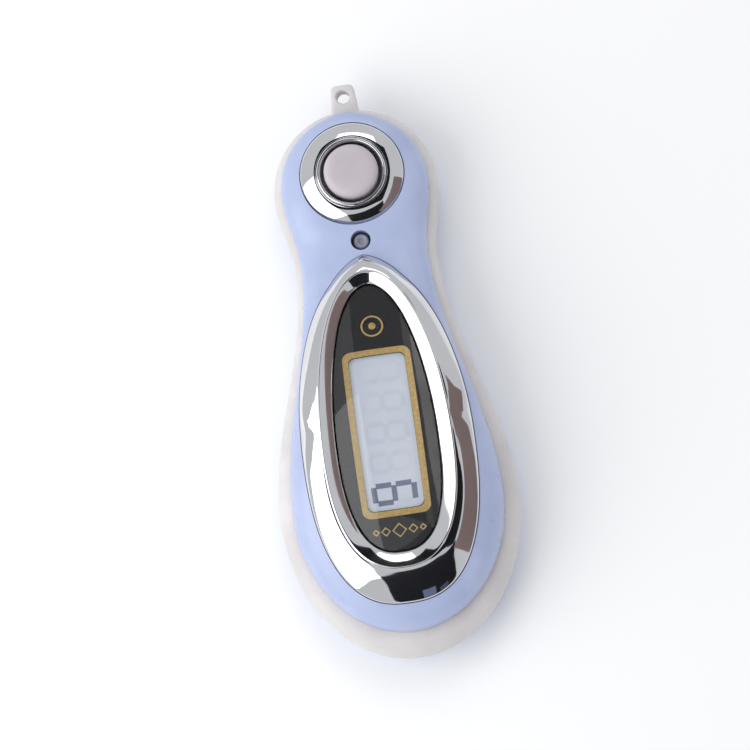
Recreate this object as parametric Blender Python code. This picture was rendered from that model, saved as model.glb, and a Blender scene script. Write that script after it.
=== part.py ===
"""Electronic hand tally counter, the pocket kind with one big thumb button and a digit window.

Every length below is in millimetres. X runs across the body, +Y towards the lanyard lug,
and +Z out of the front face. The flat back lies on z = 0.
"""
import math
from collections import namedtuple

import bmesh
import bpy

MM = 0.001

# Plan outline of the body: a round head, a waist and an oval lobe.
Gourd = namedtuple("Gourd", "head_y head_radius neck_y neck_half lobe_y lobe_half bottom_y")
BODY = Gourd(29.2, 13.2, 17.1, 11.4, -22.2, 19.0, -46.4)
FOOT = Gourd(29.3, 11.8, 17.1, 10.2, -22.2, 16.7, -42.5)
CAVITY = Gourd(29.3, 10.0, 17.1, 8.3, -22.2, 15.1, -40.9)
STATIONS = 36

# Heights of the three stacked casings.
REAR_TOP = 5.2
FRAME_BOTTOM = 5.5
FRAME_TOP = 9.3
FOOT_Z = 9.6
LOBE_RISE = 8.3
HEAD_RISE = 4.7
ROOF_Z = 11.6
SEAT_Z = 12.6
GAP = 0.3

# Display bezel, rim and lens: egg outlines that share one widest line.
EGG_Y = -13.5
Egg = namedtuple("Egg", "half up down")
BEZEL = Egg(13.4, 29.1, 24.8)
BEZEL_TIP = 1.4
TIP_ANGLE = math.radians(26)
RIM = Egg(10.4, 27.8, 19.7)
LENS_OPENING = Egg(8.1, 25.6, 17.2)
LENS = Egg(7.8, 25.3, 16.9)
INSERT = Egg(9.3, 26.9, 19.0)
INSERT_POCKET = Egg(9.6, 27.2, 19.3)
BEZEL_ROOM = Egg(11.0, 27.2, 20.4)
EGG_STEPS = 60
RIM_Z = 18.0
LENS_TOP = 19.0
LENS_BOTTOM = 15.9
LENS_EDGE = 16.9
INSERT_Z = (15.3, 15.6)
SAG = 0.00126

# Display stack under the insert.
LCD_Y = -11.65
LCD_LENGTH = 28.5
LCD_WIDTH = 12.6
REAR_GLASS_WIDTH = 9.6
WINDOW = (8.4, 24.2)
FRONT_GLASS_Z = (14.3, 15.0)
REAR_GLASS_Z = (13.3, 14.0)
REFLECTOR_Z = (12.8, 13.0)
ZEBRA_Z = (8.9, 14.0)
ZEBRA_WIDTH = 1.1
HOLDER_SIZE = (15.4, 31.0)
HOLDER_Z = (8.9, 13.9)

# Circuit board.
BOARD_Z = (7.6, 8.6)
BOARD_SHARE = 1.12
BOARD_END_Y = -30.1
BOARD_TOP = BOARD_Z[1] + GAP

# Buttons.
COUNT_Y = 30.6
RING_RADIUS = 8.15
CAP_RADIUS = 4.35
CAP_TOP = 16.7
RESET_Y = COUNT_Y - 11.0
RESET_RADIUS = 1.2
RESET_HOLE = 1.6
RESET_TOP = 13.4

# Lanyard lug.
LUG_HALF = 2.4
LUG_CORNER = 0.9
LUG_ROOT_Y = 40.0
LUG_END_Y = 46.4
LUG_HOLE = 1.05
LUG_HOLE_Y = 44.4
LUG_Z = (5.7, 8.7)

# Screws.
CASE_SCREWS = ((0.0, 11.4), (9.0, -32.8), (-9.0, -32.8))
BOARD_SCREWS = ((10.0, -20.6), (-10.0, -20.6))
SEAT_HEAD_Z = 2.6

# Battery bay in the rear shell.
CELL_Y = -13.6
CELL_RADIUS = 5.8
CELL_Z = (1.4, 6.8)
DOOR_SIZE = (14.4, 19.4)
DOOR_Y = -10.8
DOOR_TOP = 1.1
DOOR_SCREW_Y = -4.8


def clear_scene():
    """Remove whatever the file already holds."""
    for old in list(bpy.data.objects):
        bpy.data.objects.remove(old, do_unlink=True)


def colour(hex_code):
    """Turn an sRGB hex colour into linear values."""
    values = [int(hex_code[i:i + 2], 16) / 255 for i in (0, 2, 4)]
    return [v / 12.92 if v <= 0.04045 else ((v + 0.055) / 1.055) ** 2.4 for v in values]


def finish(name, hex_code, roughness, metallic=0.0):
    """Make a plain material with one colour, roughness and metallic value."""
    made = bpy.data.materials.new(name)
    made.use_nodes = True
    shader = made.node_tree.nodes["Principled BSDF"]
    shader.inputs["Base Color"].default_value = (*colour(hex_code), 1.0)
    shader.inputs["Roughness"].default_value = roughness
    shader.inputs["Metallic"].default_value = metallic
    return made


def ease(start, end, t):
    """Blend from start to end along half a cosine wave."""
    return start + (end - start) * (1 - math.cos(math.pi * t)) / 2


def half_width(gourd, y):
    """Half of the body's width at y: head circle, two cosine flanks and an oval end."""
    if y > gourd.head_y:
        return math.sqrt(max(0.0, gourd.head_radius ** 2 - (y - gourd.head_y) ** 2))
    if y > gourd.neck_y:
        t = (y - gourd.neck_y) / (gourd.head_y - gourd.neck_y)
        return ease(gourd.neck_half, gourd.head_radius, t)
    if y > gourd.lobe_y:
        t = (y - gourd.lobe_y) / (gourd.neck_y - gourd.lobe_y)
        return ease(gourd.lobe_half, gourd.neck_half, t)
    t = (gourd.lobe_y - y) / (gourd.lobe_y - gourd.bottom_y)
    return gourd.lobe_half * math.sqrt(max(0.0, 1 - t * t))


def stations(gourd):
    """Places along Y from the head's end to the bottom, closer together at both ends."""
    top = gourd.head_y + gourd.head_radius
    middle = (top + gourd.bottom_y) / 2
    half = (top - gourd.bottom_y) / 2
    return [middle + half * math.cos(math.pi * i / STATIONS) for i in range(STATIONS + 1)]


def between_ring(first, second, share, z):
    """An outline part of the way from one gourd to another, at one height."""
    ring = []
    for y_a, y_b in zip(stations(first), stations(second)):
        x_a = half_width(first, y_a)
        x_b = half_width(second, y_b)
        ring.append((x_a + (x_b - x_a) * share, y_a + (y_b - y_a) * share, z))
    return ring + [(-x, y, z) for x, y, z in reversed(ring[1:-1])]


def egg_ring(egg, z, tip=0.0):
    """An egg outline, blunter at the bottom, which may have a point at the head end."""
    ring = []
    for i in range(EGG_STEPS):
        angle = 2 * math.pi * i / EGG_STEPS
        across = math.sin(angle)
        along = math.cos(angle)
        power = 2 / (2.0 if along > 0 else 2.5)
        reach = egg.up if along > 0 else egg.down
        x = egg.half * math.copysign(abs(across) ** power, across)
        y = EGG_Y + reach * math.copysign(abs(along) ** power, along)
        off_axis = min(angle, 2 * math.pi - angle)
        y += tip * max(0.0, 1 - off_axis / TIP_ANGLE)
        ring.append((x, y, z(x, y) if callable(z) else z))
    return ring


def rounded_ring(width, length, radius, centre_y, z, steps=4):
    """A rounded rectangle's outline."""
    ring = []
    for corner in range(4):
        sign_x = 1 if corner in (0, 3) else -1
        sign_y = 1 if corner in (0, 1) else -1
        for i in range(steps + 1):
            angle = math.pi / 2 * (corner + i / steps)
            x = sign_x * (width / 2 - radius) + radius * math.cos(angle)
            y = sign_y * (length / 2 - radius) + radius * math.sin(angle)
            ring.append((x, centre_y + y, z))
    return ring


def loft(bm, rings, wrap=False, capped=(True, True)):
    """Skin a row of closed rings; each end is capped or shrinks away, or the ends are joined."""
    rows = [[bm.verts.new(point) for point in ring] for ring in rings]
    pairs = list(zip(rows, rows[1:]))
    if wrap:
        pairs.append((rows[-1], rows[0]))
    elif capped[0]:
        bm.faces.new(rows[0])
    if capped[1] and not wrap:
        bm.faces.new(rows[-1])
    for low, high in pairs:
        for i in range(len(low)):
            j = (i + 1) % len(low)
            bm.faces.new((low[i], low[j], high[j], high[i]))
    bmesh.ops.remove_doubles(bm, verts=bm.verts, dist=0.001)
    return bm


def turned(profile, steps=32, ring=False):
    """Turn a profile of (radius, height) points round the Z axis."""
    bm = bmesh.new()
    points = [bm.verts.new((radius, 0, z)) for radius, z in profile]
    edges = [bm.edges.new(pair) for pair in zip(points, points[1:])]
    if ring:
        edges.append(bm.edges.new((points[-1], points[0])))
    bmesh.ops.spin(bm, geom=points + edges, cent=(0, 0, 0), axis=(0, 0, 1),
                   angle=2 * math.pi, steps=steps, use_merge=True)
    bmesh.ops.remove_doubles(bm, verts=bm.verts, dist=0.001)
    return bm


def box(bm, low, high):
    """Add a box between two corners."""
    size = [b - a for a, b in zip(low, high)]
    middle = [(a + b) / 2 for a, b in zip(low, high)]
    made = bmesh.ops.create_cube(bm, size=1.0)["verts"]
    bmesh.ops.scale(bm, vec=size, verts=made)
    bmesh.ops.translate(bm, vec=middle, verts=made)
    return bm


def post(bm, radius, z_low, z_high, at=(0.0, 0.0), steps=24):
    """Add an upright cylinder."""
    made = bmesh.ops.create_cone(bm, cap_ends=True, segments=steps, radius1=radius,
                                 radius2=radius, depth=z_high - z_low)["verts"]
    bmesh.ops.translate(bm, vec=(at[0], at[1], (z_low + z_high) / 2), verts=made)
    return bm


def place(name, bm, material=None, at=(0, 0, 0), sharp=35):
    """Make an object from a mesh drawn in millimetres round the point where it stands."""
    bmesh.ops.scale(bm, vec=(MM, MM, MM), verts=bm.verts)
    bmesh.ops.recalc_face_normals(bm, faces=bm.faces)
    mesh = bpy.data.meshes.new(name)
    bm.to_mesh(mesh)
    bm.free()
    mesh.shade_smooth()
    mesh.set_sharp_from_angle(angle=math.radians(sharp))
    made = bpy.data.objects.new(name, mesh)
    made.location = [value * MM for value in at]
    bpy.context.scene.collection.objects.link(made)
    if material:
        mesh.materials.append(material)
    return made


def combine(target, name, bm, operation="DIFFERENCE"):
    """Cut a helper shape out of a piece, or join it on, with a Boolean modifier."""
    helper = place(name, bm)
    helper.hide_render = True
    helper.display_type = "WIRE"
    step = target.modifiers.new(name, "BOOLEAN")
    step.operation = operation
    step.solver = "EXACT"
    step.object = helper


def end_fall(gourd, y, power):
    """Share of the full height at y: 1 along the middle, rounded down to 0 at an end."""
    top = gourd.head_y + gourd.head_radius
    middle = (top + gourd.bottom_y) / 2
    v = min(1.0, abs(y - middle) / ((top - gourd.bottom_y) / 2))
    return (1 - v ** power) ** (1 / power)


def front_rise(y):
    """Height of the front shell's middle line above its foot."""
    along = min(1.0, max(0.0, (y + 13.6) / 32.0))
    power = 6.0 if y > 0 else 2.6
    return ease(LOBE_RISE, HEAD_RISE, along) * end_fall(FOOT, y, power)


def front_power(y):
    """Squareness of the front shell's section, which is fullest at the waist."""
    return 2.7 + 2.3 * max(0.0, 1 - ((y - 5.4) / 15.0) ** 2)


def front_z(x, y):
    """Height of the front shell's outer face."""
    share = min(1.0, abs(x) / max(half_width(FOOT, y), 0.01))
    power = front_power(y)
    return FOOT_Z + front_rise(y) * (1 - share ** power) ** (1 / power)


def arch(width, rise, power, steps, back=False):
    """Half a superellipse from one foot over the crown to the other."""
    points = []
    for i in range(steps + 1):
        angle = math.pi * i / steps
        if back:
            angle = math.pi - angle
        across = math.cos(angle)
        x = width * math.copysign(abs(across) ** (2 / power), across)
        points.append((x, FOOT_Z + rise * max(0.0, math.sin(angle)) ** (2 / power)))
    return points


def front_shell(material):
    """Domed front casing, lofted along Y, with its pockets, posts and screw bosses."""
    sections = []
    for outer_y, inner_y in zip(stations(FOOT), stations(CAVITY)):
        outer = arch(half_width(FOOT, outer_y), front_rise(outer_y), front_power(outer_y), 18)
        depth = (ROOF_Z - FOOT_Z) * end_fall(CAVITY, inner_y, 16.0)
        inner = arch(half_width(CAVITY, inner_y), depth, 7.0, 8, back=True)
        section = [(x, outer_y, z) for x, z in outer] + [(x, inner_y, z) for x, z in inner]
        sections.append(section)
    shell = place("front_shell", loft(bmesh.new(), sections, capped=(False, False)), material)

    bosses = bmesh.new()
    for at in CASE_SCREWS:
        post(bosses, 2.1, 4.8, ROOF_Z + 0.5, at)
    for at in BOARD_SCREWS:
        post(bosses, 1.8, BOARD_TOP, ROOF_Z + 0.5, at)
    combine(shell, "shell_bosses", bosses, "UNION")

    pilots = bmesh.new()
    for at in CASE_SCREWS:
        post(pilots, 1.15, 4.0, 11.0, at, steps=16)
    for at in BOARD_SCREWS:
        post(pilots, 0.95, BOARD_TOP - 1, 11.3, at, steps=16)
    combine(shell, "shell_pilot_holes", pilots)

    grown = Egg(BEZEL.half + GAP, BEZEL.up + GAP, BEZEL.down + GAP)
    pockets = loft(bmesh.new(), [egg_ring(grown, z, BEZEL_TIP) for z in (SEAT_Z, 22)])
    post(pockets, RING_RADIUS + GAP, SEAT_Z, 22, (0, COUNT_Y), steps=36)
    combine(shell, "shell_pockets", pockets)

    openings = bmesh.new()
    width, length = HOLDER_SIZE[0] + 1.2, HOLDER_SIZE[1] + 1.2
    loft(openings, [rounded_ring(width, length, 1.0, LCD_Y, z) for z in (ROOF_Z - 1, SEAT_Z + 1)])
    post(openings, CAP_RADIUS + 0.35, ROOF_Z - 1, SEAT_Z + 1, (0, COUNT_Y), steps=32)
    post(openings, RESET_HOLE, ROOF_Z - 1, 22, (0, RESET_Y), steps=20)
    combine(shell, "shell_openings", openings)


def middle_frame(material):
    """Rounded band between the two shells, with the lanyard lug at its head end."""
    band = ((0.18, FRAME_BOTTOM), (0.0, 6.4), (0.03, 7.3), (0.24, 8.2), (0.58, 8.9), (0.98, FRAME_TOP))
    rings = [between_ring(BODY, FOOT, share, z) for share, z in band]
    rings += [between_ring(CAVITY, CAVITY, 0, z) for z in (FRAME_TOP, FRAME_BOTTOM)]
    frame = place("middle_frame", loft(bmesh.new(), rings, wrap=True), material)

    def lug_ring(inset, z):
        ring = []
        for i in range(14):
            side = 1 if i < 7 else -1
            angle = math.pi / 12 * (i if i < 7 else i - 1)
            x = side + (LUG_CORNER - inset) * math.cos(angle)
            ring.append((x, LUG_END_Y - LUG_CORNER + (LUG_CORNER - inset) * math.sin(angle), z))
        return ring + [(inset - LUG_HALF, LUG_ROOT_Y, z), (LUG_HALF - inset, LUG_ROOT_Y, z)]

    low, high = LUG_Z
    rings = [lug_ring(inset, z) for inset, z in
             ((0.4, low), (0.0, low + 0.4), (0.0, high - 0.4), (0.4, high))]
    combine(frame, "lug_tab", loft(bmesh.new(), rings), "UNION")
    hole = post(bmesh.new(), LUG_HOLE, low - 1, high + 1, (0, LUG_HOLE_Y), steps=20)
    combine(frame, "lug_hole", hole)


def rear_shell(material):
    """Rear tray with a flat back, screw wells and the walls of the battery bay."""
    wall = ((1.15, 0.0), (0.75, 0.35), (0.42, 1.3), (0.22, 2.9), (0.14, REAR_TOP),
            (0.58, REAR_TOP), (0.68, 3.2), (1.05, 1.7), (1.25, 1.5))
    rings = [between_ring(BODY, CAVITY, share, z) for share, z in wall]
    shell = place("rear_shell", loft(bmesh.new(), rings), material)

    width, length = DOOR_SIZE
    bosses = box(bmesh.new(), (-width / 2 - 1.3, DOOR_Y - length / 2 - 1.3, 0.2),
                 (width / 2 + 1.3, DOOR_Y + length / 2 + 1.3, CELL_Z[1]))
    for at in CASE_SCREWS:
        post(bosses, 3.2, 0.2, 4.5, at)
    combine(shell, "rear_bosses", bosses, "UNION")

    bay = box(bmesh.new(), (-width / 2 + 0.5, DOOR_Y - length / 2 + 0.5, 1.0),
              (width / 2 - 0.5, DOOR_Y + length / 2 - 0.5, 8.0))
    combine(shell, "battery_bay", bay)
    mouth = [rounded_ring(width + 0.6, length + 0.6, 1.3, DOOR_Y, z) for z in (-1, 1.4)]
    recess = loft(bmesh.new(), mouth)
    for at in CASE_SCREWS:
        post(recess, 2.1, -1, SEAT_HEAD_Z, at)
    combine(shell, "door_recess", recess)
    holes = bmesh.new()
    for at in CASE_SCREWS:
        post(holes, 1.15, 2.0, 6.0, at, steps=16)
    combine(shell, "rear_screw_holes", holes)

    wall_y = DOOR_Y + length / 2 + 0.4
    pillar = [[(2.2 * math.cos(math.pi * i / 12), DOOR_SCREW_Y - 2.2 * math.sin(math.pi * i / 12), z)
               for i in range(13)] + [(-2.2, wall_y, z), (2.2, wall_y, z)] for z in (2.5, 6.4)]
    combine(shell, "door_screw_pillar", loft(bmesh.new(), pillar), "UNION")
    pilot = post(bmesh.new(), 1.1, 1.5, 5.5, (0, DOOR_SCREW_Y), steps=16)
    combine(shell, "door_screw_pilot", pilot)


def battery_door(material, screw_material, cell_material):
    """Door over the cell, its one screw, and the cell itself."""
    width, length = DOOR_SIZE
    plate = [rounded_ring(width, length, 1.0, 0, z) for z in (0.0, DOOR_TOP)]
    door = place("battery_door", loft(bmesh.new(), plate), material, at=(0, DOOR_Y, 0))
    combine(door, "door_boss", post(bmesh.new(), 2.6, 0.3, 2.2, (0, DOOR_SCREW_Y)), "UNION")
    combine(door, "door_head_well", post(bmesh.new(), 2.0, -1, 1.2, (0, DOOR_SCREW_Y)))
    combine(door, "door_screw_hole", post(bmesh.new(), 1.1, 1.0, 3, (0, DOOR_SCREW_Y), steps=16))
    screw = turned([(0, 0.15), (1.4, 0.15), (1.65, 0.35), (1.65, 0.9), (0.8, 0.9), (0.8, 4.4),
                    (0, 5.0)], 20)
    place("battery_door_screw", screw, screw_material, at=(0, DOOR_SCREW_Y, 0))
    low, high = CELL_Z
    can = turned([(0, low), (5.5, low), (5.8, low + 0.3), (5.8, high - 0.9), (5.3, high - 0.5),
                  (4.9, high - 0.4), (4.8, high - 0.1), (4.6, high), (0, high)], 32)
    place("button_cell", can, cell_material, at=(0, CELL_Y, 0))


def bezel_slope(egg, z, tip=0.0):
    """A ring that follows the bezel's fall towards its two ends."""
    return egg_ring(egg, lambda x, y: z - SAG * (y - EGG_Y) ** 2, tip)


def display(chrome, clear, print_finish):
    """Chrome bezel, clear lens and the printed insert between them."""
    outer_edge = egg_ring(BEZEL, lambda x, y: front_z(x, y) + 0.25, BEZEL_TIP)
    rim_base = bezel_slope(RIM, RIM_Z - 0.5)
    flank = [tuple((a + b) / 2 for a, b in zip(p, q)) for p, q in zip(outer_edge, rim_base)]
    flank = [(x, y, z + 0.25) for x, y, z in flank]
    rings = [
        egg_ring(BEZEL, SEAT_Z + GAP, BEZEL_TIP), outer_edge, flank, rim_base,
        bezel_slope(Egg(RIM.half - 0.1, RIM.up - 0.1, RIM.down - 0.1), RIM_Z - 0.1),
        bezel_slope(Egg(RIM.half - 0.35, RIM.up - 0.35, RIM.down - 0.35), RIM_Z),
        bezel_slope(Egg(8.3, 25.8, 17.4), RIM_Z - 0.75),
        bezel_slope(LENS_OPENING, RIM_Z - 1.0),
        egg_ring(LENS_OPENING, LENS_BOTTOM), egg_ring(INSERT_POCKET, LENS_BOTTOM),
        egg_ring(INSERT_POCKET, INSERT_Z[0] - 0.1), egg_ring(BEZEL_ROOM, INSERT_Z[0] - 0.5),
        egg_ring(BEZEL_ROOM, SEAT_Z + GAP),
    ]
    place("display_bezel", loft(bmesh.new(), rings, wrap=True), chrome)

    rings = [egg_ring(LENS, LENS_BOTTOM)]
    for share in (1.0, 0.8, 0.6, 0.4, 0.2, 0.0):
        egg = Egg(LENS.half * share, LENS.up * share, LENS.down * share)
        rings.append(bezel_slope(egg, LENS_EDGE + (LENS_TOP - LENS_EDGE) * (1 - share ** 2)))
    place("display_lens", loft(bmesh.new(), rings, capped=(True, False)), clear)

    sheet = loft(bmesh.new(), [egg_ring(INSERT, z) for z in INSERT_Z])
    insert = place("printed_insert", sheet, print_finish)
    width, length = WINDOW
    window = loft(bmesh.new(), [rounded_ring(width, length, 1.0, LCD_Y, z) for z in (14, 17)])
    combine(insert, "insert_window", window)


def plate(name, width, length, z_range, material, centre_y=LCD_Y, x=0.0):
    """A flat rectangular plate."""
    low = (-width / 2, -length / 2, z_range[0])
    high = (width / 2, length / 2, z_range[1])
    place(name, box(bmesh.new(), low, high), material, at=(x, centre_y, 0))


def lcd(glass, mirror, rubber, holder_plastic):
    """Display glass sandwich, its holder and the two zebra strips."""
    plate("lcd_front_glass", LCD_WIDTH, LCD_LENGTH, FRONT_GLASS_Z, glass)
    plate("lcd_rear_glass", REAR_GLASS_WIDTH, LCD_LENGTH, REAR_GLASS_Z, glass)
    plate("lcd_reflector", REAR_GLASS_WIDTH, LCD_LENGTH, REFLECTOR_Z, mirror)
    strip_x = REAR_GLASS_WIDTH / 2 + 0.3 + ZEBRA_WIDTH / 2
    plate("zebra_strip_1", ZEBRA_WIDTH, LCD_LENGTH - 2, ZEBRA_Z, rubber, x=strip_x)
    plate("zebra_strip_2", ZEBRA_WIDTH, LCD_LENGTH - 2, ZEBRA_Z, rubber, x=-strip_x)
    width, length = HOLDER_SIZE
    rings = [rounded_ring(width, length, 1.0, 0, z) for z in HOLDER_Z]
    rings += [rounded_ring(LCD_WIDTH + 0.6, LCD_LENGTH + 0.6, 0.4, 0, z) for z in reversed(HOLDER_Z)]
    place("lcd_holder", loft(bmesh.new(), rings, wrap=True), holder_plastic, at=(0, LCD_Y, 0))


def board(laminate, epoxy, brown, black):
    """Circuit board with its chip blob, capacitor and resistors."""
    bm = loft(bmesh.new(), [between_ring(BODY, CAVITY, BOARD_SHARE, z) for z in BOARD_Z])
    cut = bmesh.ops.bisect_plane(bm, geom=bm.verts[:] + bm.edges[:] + bm.faces[:], dist=0.001,
                                 plane_co=(0, BOARD_END_Y, 0), plane_no=(0, -1, 0), clear_outer=True)
    rim = [part for part in cut["geom_cut"] if isinstance(part, bmesh.types.BMEdge)]
    bmesh.ops.contextual_create(bm, geom=rim)
    circuit = place("circuit_board", bm, laminate)
    holes = post(bmesh.new(), 2.5, 6, 10, CASE_SCREWS[0])
    for at in BOARD_SCREWS:
        post(holes, 1.0, 6, 10, at, steps=16)
    combine(circuit, "board_holes", holes)

    blob = turned([(0, BOARD_TOP), (4.0, BOARD_TOP), (3.8, BOARD_TOP + 0.5), (3.1, BOARD_TOP + 1.0),
                   (1.8, BOARD_TOP + 1.35), (0, BOARD_TOP + 1.5)], 24)
    place("chip_blob", blob, epoxy, at=(0, LCD_Y, 0))
    plate("capacitor", 1.6, 3.2, (BOARD_TOP, BOARD_TOP + 1.4), brown, centre_y=11.4, x=-5.2)
    resistor_z = (BOARD_TOP, BOARD_TOP + 0.6)
    plate("resistor_1", 2.0, 1.2, resistor_z, black, centre_y=9.4, x=5.4)
    plate("resistor_2", 2.0, 1.2, resistor_z, black, centre_y=13.4, x=5.4)


def buttons(chrome, cap_material, rubber, carbon):
    """Count button with its chrome ring, reset button, rubber domes and contact pills."""
    seat = SEAT_Z + GAP
    ring = turned([(RING_RADIUS, seat), (RING_RADIUS, 13.5), (8.0, 13.75), (7.3, 14.15), (6.5, 14.5),
                   (5.8, 14.75), (5.6, 14.75), (5.5, 15.05), (5.25, 15.2), (5.0, 15.05), (4.85, 14.6),
                   (4.85, seat)], 36, ring=True)
    place("button_ring", ring, chrome, at=(0, COUNT_Y, 0))
    cap = turned([(0, CAP_TOP), (1.8, CAP_TOP - 0.08), (3.2, CAP_TOP - 0.3), (4.0, CAP_TOP - 0.65),
                  (4.25, CAP_TOP - 1.15), (CAP_RADIUS, 14.2), (CAP_RADIUS, 11.2), (5.6, 11.2),
                  (5.6, 10.4), (3.6, 10.4), (3.6, 13.6), (2.8, 14.5), (1.5, 14.9), (1.5, 12.2),
                  (0, 12.2)], 28)
    place("count_button", cap, cap_material, at=(0, COUNT_Y, 0))
    dome = turned([(0, 11.9), (1.5, 11.9), (1.75, 11.6), (2.6, 9.9), (3.2, 9.5), (3.2, BOARD_TOP),
                   (2.7, BOARD_TOP), (2.2, 9.6), (1.35, 11.1), (0, 11.1)], 24)
    place("count_rubber_dome", dome, rubber, at=(0, COUNT_Y, 0))
    pill = turned([(0, 9.9), (1.1, 9.9), (1.1, 10.5), (0, 10.5)], 20)
    place("count_contact_pill", pill, carbon, at=(0, COUNT_Y, 0))

    pin = turned([(0, RESET_TOP - 0.25), (0.5, RESET_TOP - 0.15), (0.85, RESET_TOP),
                  (1.05, RESET_TOP - 0.05), (RESET_RADIUS, RESET_TOP - 0.25), (RESET_RADIUS, 11.2),
                  (2.1, 11.2), (2.1, 10.6), (0, 10.6)], 20)
    place("reset_button", pin, cap_material, at=(0, RESET_Y, 0))
    dome = turned([(0, 10.3), (0.8, 10.3), (1.5, 9.4), (1.9, 9.2), (1.9, BOARD_TOP), (1.4, BOARD_TOP),
                   (1.05, 9.3), (0.6, 10.0), (0, 10.0)], 20)
    place("reset_rubber_dome", dome, rubber, at=(0, RESET_Y, 0))
    pill = turned([(0, 9.4), (0.55, 9.4), (0.55, 9.7), (0, 9.7)], 16)
    place("reset_contact_pill", pill, carbon, at=(0, RESET_Y, 0))


def contacts(sprung_metal):
    """Two leaf contacts, one over the cell and one beside it."""
    leaf = box(bmesh.new(), (-1.5, -3.0, 7.1), (1.5, 3.0, 7.3))
    place("battery_contact_negative", leaf, sprung_metal, at=(0, CELL_Y, 0))
    side = CELL_RADIUS + GAP
    profile = ((side, 2.4), (side + 0.3, 2.4), (side + 0.3, 7.1), (9.4, 7.1), (9.4, 7.3), (side, 7.3))
    rings = [[(x, y, z) for x, z in profile] for y in (-1.5, 1.5)]
    place("battery_contact_positive", loft(bmesh.new(), rings), sprung_metal, at=(0, CELL_Y, 0))


def screws(steel):
    """Case screws driven from the back, and the circuit board's screws."""
    head = SEAT_HEAD_Z - GAP
    for number, (x, y) in enumerate(CASE_SCREWS, start=1):
        screw = turned([(0, head - 1.2), (1.3, head - 1.2), (1.75, head - 0.8), (1.75, head),
                        (0.85, head), (0.85, 9.8), (0, 10.6)], 20)
        place(f"case_screw_{number}", screw, steel, at=(x, y, 0))
    head = BOARD_Z[0] - GAP
    for number, (x, y) in enumerate(BOARD_SCREWS, start=1):
        screw = turned([(0, head - 0.9), (1.0, head - 0.9), (1.4, head - 0.6), (1.4, head),
                        (0.65, head), (0.65, 10.6), (0, 11.0)], 20)
        place(f"board_screw_{number}", screw, steel, at=(x, y, 0))


def main():
    clear_scene()
    chrome = finish("chrome_plated_abs", "DCDCDA", 0.06, 1.0)
    blue = finish("blue_gloss_abs", "AFBEE4", 0.18)
    frosted = finish("frosted_grey_abs", "CBC7C9", 0.42)
    milky = finish("milky_cap_plastic", "C9BEC4", 0.35)
    clear = finish("clear_acrylic", "F2F4F6", 0.03)
    print_black = finish("black_printed_film", "0C0C11", 0.3)
    glass = finish("display_glass", "C3CBDA", 0.08)
    mirror = finish("reflector_foil", "B9BEC6", 0.35, 0.8)
    rubber = finish("silicone_rubber", "D8D6CE", 0.6)
    zebra = finish("zebra_silicone", "D79AA2", 0.6)
    white = finish("white_holder_abs", "E4E4E0", 0.4)
    carbon = finish("carbon_pill", "1B1B1D", 0.7)
    laminate = finish("green_laminate", "2F6B4A", 0.45)
    epoxy = finish("black_epoxy", "111113", 0.25)
    brown = finish("capacitor_ceramic", "A9865E", 0.5)
    black = finish("resistor_ceramic", "1E1E22", 0.5)
    spring_steel = finish("nickel_spring_steel", "BDB9B0", 0.25, 1.0)
    zinc = finish("zinc_plated_steel", "A9ABAE", 0.3, 1.0)
    cell = finish("stainless_cell_can", "C9CACC", 0.22, 1.0)
    front_shell(blue)
    middle_frame(frosted)
    rear_shell(blue)
    battery_door(blue, zinc, cell)
    display(chrome, clear, print_black)
    lcd(glass, mirror, zebra, white)
    board(laminate, epoxy, brown, black)
    buttons(chrome, milky, rubber, carbon)
    contacts(spring_steel)
    screws(zinc)


main()
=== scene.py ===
# %% [markdown]
# # An electronic hand tally counter
#
# A pocket counter has a gourd-shaped plastic body, a chrome bezel round a small digit
# window, and one big button under the thumb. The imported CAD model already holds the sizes,
# the inside parts and the joints. This script loads it and gives every visible part its
# real surface. Lengths are written in millimetres, because that is how such a part is
# drawn, and each mesh is scaled to metres once, when it is finished.

# %% Load the CAD model as the frame
import math
from collections import namedtuple

import bmesh
import bpy
from mathutils import Matrix, Vector


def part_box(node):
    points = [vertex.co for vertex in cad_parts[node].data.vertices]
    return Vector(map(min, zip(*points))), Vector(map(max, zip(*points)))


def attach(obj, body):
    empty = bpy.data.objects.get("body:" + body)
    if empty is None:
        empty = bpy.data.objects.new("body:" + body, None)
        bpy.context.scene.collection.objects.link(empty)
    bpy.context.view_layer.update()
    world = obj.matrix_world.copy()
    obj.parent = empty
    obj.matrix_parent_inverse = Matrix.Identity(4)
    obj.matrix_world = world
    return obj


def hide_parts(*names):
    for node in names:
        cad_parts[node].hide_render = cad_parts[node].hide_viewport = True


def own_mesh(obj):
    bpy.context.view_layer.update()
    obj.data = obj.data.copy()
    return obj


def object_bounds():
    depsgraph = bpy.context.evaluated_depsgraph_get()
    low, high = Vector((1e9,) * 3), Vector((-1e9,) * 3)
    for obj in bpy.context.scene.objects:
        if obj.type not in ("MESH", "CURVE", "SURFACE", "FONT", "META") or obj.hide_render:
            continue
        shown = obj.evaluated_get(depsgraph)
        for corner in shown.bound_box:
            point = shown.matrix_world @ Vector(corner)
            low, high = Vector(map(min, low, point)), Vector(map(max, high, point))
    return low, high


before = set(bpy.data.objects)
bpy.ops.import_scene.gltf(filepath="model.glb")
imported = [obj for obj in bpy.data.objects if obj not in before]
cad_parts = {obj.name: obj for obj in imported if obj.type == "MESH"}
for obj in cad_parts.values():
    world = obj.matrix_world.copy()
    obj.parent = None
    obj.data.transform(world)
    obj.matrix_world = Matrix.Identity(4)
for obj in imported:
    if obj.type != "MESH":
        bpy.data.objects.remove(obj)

MM = 0.001
cad_low, cad_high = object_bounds()
print("CAD box in mm:", [round((b - a) / MM, 2) for a, b in zip(cad_low, cad_high)])


def span(node):
    """Lowest and highest corner of a CAD node, in millimetres."""
    low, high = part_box(node)
    return [value / MM for value in low], [value / MM for value in high]


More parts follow.
